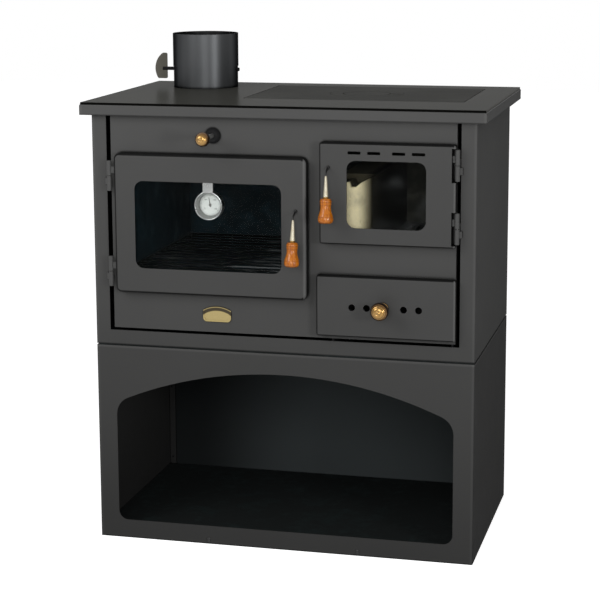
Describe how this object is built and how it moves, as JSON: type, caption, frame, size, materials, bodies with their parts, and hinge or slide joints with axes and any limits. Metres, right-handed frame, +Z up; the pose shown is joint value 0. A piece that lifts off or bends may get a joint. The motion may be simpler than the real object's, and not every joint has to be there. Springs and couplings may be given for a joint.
{
  "type": "wood cookstove",
  "caption": "Free-standing wood cookstove of folded sheet steel: oven with glazed door, glazed firebox door, ash drawer, lift-out cooking plate, flue collar with damper and an arched log store.",
  "frame": {"origin": "bottom centre of the outline, on the floor", "axes": "+X to the viewer's right when facing the doors, +Y from the doors to the back, +Z up"},
  "size_m": [0.75, 0.5214, 0.936],
  "materials": {
    "casing_paint": "satin anthracite enamel",
    "hob_paint": "heat-resistant satin paint",
    "inner_steel": "black heat-resistant paint",
    "cast_plate": "ground and blacked",
    "glass": "clear ceramic glass",
    "nickel": "nickel plated",
    "steel": "bright steel",
    "brass": "polished",
    "wood": "varnished",
    "firebrick": "matt",
    "seal": "woven glass tape",
    "dial": "white"
  },
  "bodies": {
    "stove": {"base_casing": "casing_paint", "base_back": "casing_paint", "base_floor": "casing_paint", "body_casing": "casing_paint", "body_back": "casing_paint", "body_bottom": "casing_paint", "front_panel": "casing_paint", "case_screws": "steel", "hob_frame": "hob_paint", "hob_plate": "hob_paint", "flue_collar": "casing_paint", "bypass_rosette": "casing_paint", "smoke_baffle": "inner_steel", "oven_box": "inner_steel", "oven_rack_rails": "inner_steel", "hinge_lower_knuckles": "casing_paint", "hinge_pins": "steel", "latch_pockets": "inner_steel", "firebox_liner": "inner_steel", "firebrick_left": "firebrick", "firebrick_right": "firebrick", "firebrick_back": "firebrick", "grate": "cast_plate", "ash_runners": "inner_steel", "badge_plate": "brass"},
    "oven_door": {"oven_door": "casing_paint", "oven_door_glass": "glass", "oven_glass_clips": "steel", "oven_door_seal": "seal", "oven_upper_knuckles": "casing_paint", "thermometer_case": "steel", "thermometer_dial": "dial", "thermometer_lens": "glass"},
    "oven_latch": {"oven_latch_rod": "inner_steel", "oven_latch_ferrule": "nickel", "oven_latch_grip": "wood", "oven_latch_tongue": "steel"},
    "thermometer_pointer": {"thermometer_pointer": "steel"},
    "firebox_door": {"firebox_door": "casing_paint", "firebox_door_glass": "glass", "firebox_glass_clips": "steel", "firebox_door_seal": "seal", "firebox_upper_knuckles": "casing_paint"},
    "firebox_latch": {"firebox_latch_rod": "inner_steel", "firebox_latch_ferrule": "nickel", "firebox_latch_grip": "wood", "firebox_latch_tongue": "steel"},
    "ash_drawer": {"ash_drawer_front": "casing_paint", "ash_pan": "inner_steel", "ash_knob": "brass"},
    "damper": {"damper_shaft": "inner_steel", "damper_disc": "inner_steel", "damper_handle": "casing_paint"},
    "bypass": {"bypass_knob": "brass", "bypass_rod": "steel", "bypass_gate": "inner_steel"},
    "cooking_plate": {"cooking_plate": "cast_plate"},
    "round_lid": {"round_lid": "cast_plate"},
    "oven_rack": {"oven_rack": "steel"}
  },
  "joints": [
    {"name": "oven_door_hinge", "type": "hinge", "parent": "stove", "child": "oven_door", "pos_m": [-0.321, -0.19525, 0.48], "axis": [0, 0, -1], "range_deg": [0, 115]},
    {"name": "firebox_door_hinge", "type": "hinge", "parent": "stove", "child": "firebox_door", "pos_m": [0.324, -0.19525, 0.586], "axis": [0, 0, 1], "range_deg": [0, 115]},
    {"name": "oven_latch_turn", "type": "hinge", "parent": "oven_door", "child": "oven_latch", "pos_m": [0.0335, -0.20325, 0.643], "axis": [0, 1, 0], "range_deg": [0, 85]},
    {"name": "firebox_latch_turn", "type": "hinge", "parent": "firebox_door", "child": "firebox_latch", "pos_m": [0.0935, -0.20325, 0.724], "axis": [0, -1, 0], "range_deg": [0, 85]},
    {"name": "ash_drawer_slide", "type": "slide", "parent": "stove", "child": "ash_drawer", "axis": [0, -1, 0], "range_m": [0, 0.28]},
    {"name": "damper_turn", "type": "hinge", "parent": "stove", "child": "damper", "pos_m": [-0.2415, 0.15925, 0.8645], "axis": [1, 0, 0], "range_deg": [0, 90]},
    {"name": "bypass_slide", "type": "slide", "parent": "stove", "child": "bypass", "axis": [0, -1, 0], "range_m": [-0.03, 0.05]},
    {"name": "cooking_plate_lift", "type": "slide", "parent": "stove", "child": "cooking_plate", "axis": [0, 0, 1], "range_m": [0, 0.15]},
    {"name": "round_lid_lift", "type": "slide", "parent": "cooking_plate", "child": "round_lid", "axis": [0, 0, 1], "range_m": [0, 0.15]},
    {"name": "oven_rack_slide", "type": "slide", "parent": "stove", "child": "oven_rack", "axis": [0, -1, 0], "range_m": [0, 0.025]},
    {"name": "thermometer_pointer_turn", "type": "hinge", "parent": "oven_door", "child": "thermometer_pointer", "pos_m": [-0.132, -0.1962, 0.646], "axis": [0, 1, 0], "range_deg": [-100, 130], "stiffness_Nm_per_rad": 0.002}
  ]
}
